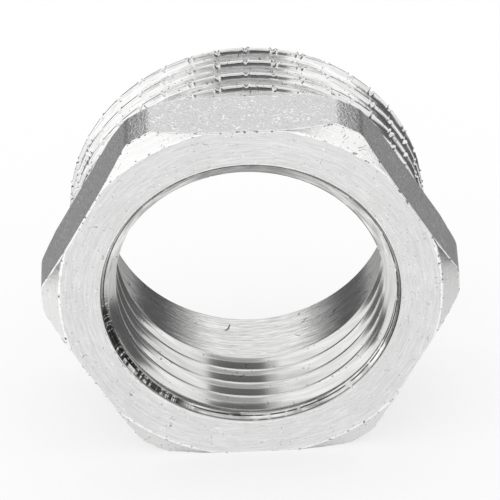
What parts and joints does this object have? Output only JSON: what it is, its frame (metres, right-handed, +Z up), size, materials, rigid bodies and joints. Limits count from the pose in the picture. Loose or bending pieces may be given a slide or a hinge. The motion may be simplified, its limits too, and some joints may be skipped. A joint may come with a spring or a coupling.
{
  "type": "hex reducing bushing",
  "caption": "Hex bushing for joining a small threaded pipe to a larger port: a chamfered hexagon with a notched male thread behind it and a female thread through it.",
  "frame": {"origin": "on the surface that it lies on, under the middle of the piece", "axes": "+Y along the thread axis, from the hexagon's face to the end of the male thread; +Z up, with the hexagon resting on one flat"},
  "size_m": [0.0306, 0.014, 0.0275],
  "materials": {
    "plated_brass": "nickel plated, turned and left bright, with satin flats"
  },
  "bodies": {
    "root": {"hex_bushing": "plated_brass"}
  },
  "joints": []
}
